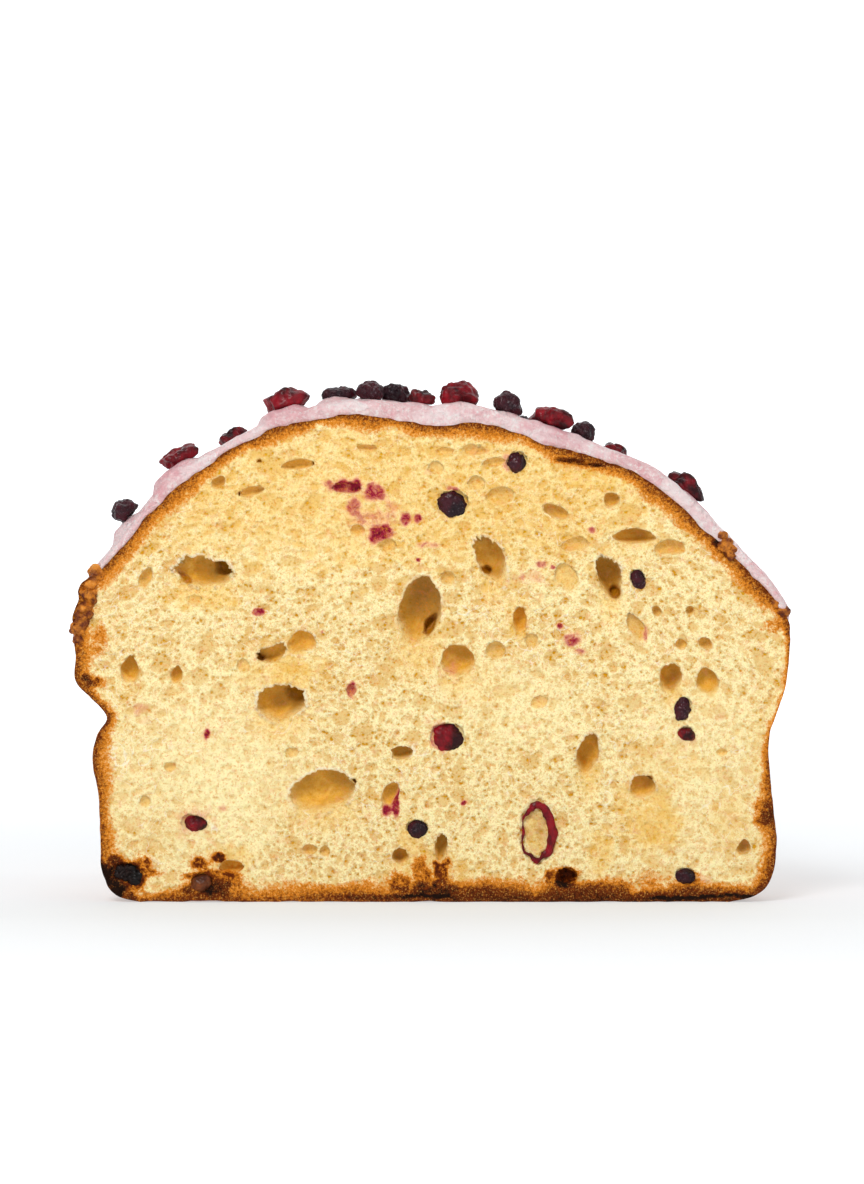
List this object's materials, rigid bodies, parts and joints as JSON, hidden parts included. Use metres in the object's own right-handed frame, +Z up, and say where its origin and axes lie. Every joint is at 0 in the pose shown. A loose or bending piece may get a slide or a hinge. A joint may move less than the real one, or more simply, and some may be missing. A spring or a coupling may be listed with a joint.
{
  "type": "colomba cake half",
  "caption": "Half of a dove-shaped festive bread, cut across the wings: open crumb at the cut, pink icing over the dome, dried fruit on the icing and in the crumb.",
  "frame": {"origin": "centre of the bottom of the bounding box, on the surface that the cake stands on", "axes": "+Z up, the cut face looks along -Y, the tail runs back along +Y, +X to the right of the cut face as seen from the front"},
  "size_m": [0.16, 0.1348, 0.1157],
  "materials": {
    "loaf": "open yeast crumb at the cut, matt; thin browned crust elsewhere",
    "icing": "set sugar icing, pale pink, satin",
    "cranberry": "dried sweetened fruit, dark red, glossy and wrinkled",
    "currant": "dried small berries, nearly black, with a pale bloom",
    "burnt": "fruit burnt black against the mould, matt",
    "raisin": "fruit baked into the crust, brown, matt"
  },
  "bodies": {
    "root": {"baked_raisin": "raisin", "burnt_currant": "burnt", "crumb_cranberry_1": "cranberry", "crumb_cranberry_2": "cranberry", "crumb_cranberry_3": "cranberry", "crumb_cranberry_4": "cranberry", "crumb_currant_1": "currant", "crumb_currant_2": "currant", "crumb_currant_3": "currant", "crumb_currant_4": "currant", "crumb_currant_5": "currant", "crumb_currant_6": "currant", "icing": "icing", "loaf": "loaf", "top_cranberry_01": "cranberry", "top_cranberry_02": "cranberry", "top_cranberry_03": "cranberry", "top_cranberry_04": "cranberry", "top_cranberry_05": "cranberry", "top_cranberry_06": "cranberry", "top_cranberry_07": "cranberry", "top_cranberry_08": "cranberry", "top_cranberry_09": "cranberry", "top_cranberry_10": "cranberry", "top_cranberry_11": "cranberry", "top_cranberry_12": "cranberry", "top_cranberry_13": "cranberry", "top_cranberry_14": "cranberry", "top_cranberry_15": "cranberry", "top_cranberry_16": "cranberry", "top_cranberry_17": "cranberry", "top_cranberry_18": "cranberry", "top_cranberry_19": "cranberry", "top_cranberry_20": "cranberry", "top_cranberry_21": "cranberry", "top_cranberry_22": "cranberry", "top_cranberry_23": "cranberry", "top_currant_01": "currant", "top_currant_02": "currant", "top_currant_03": "currant", "top_currant_04": "currant", "top_currant_05": "currant", "top_currant_06": "currant", "top_currant_07": "currant", "top_currant_08": "currant", "top_currant_09": "currant", "top_currant_10": "currant", "top_currant_11": "currant", "top_currant_12": "currant", "top_currant_13": "currant", "top_currant_14": "currant", "top_currant_15": "currant", "top_currant_16": "currant", "top_currant_17": "currant"}
  },
  "joints": []
}
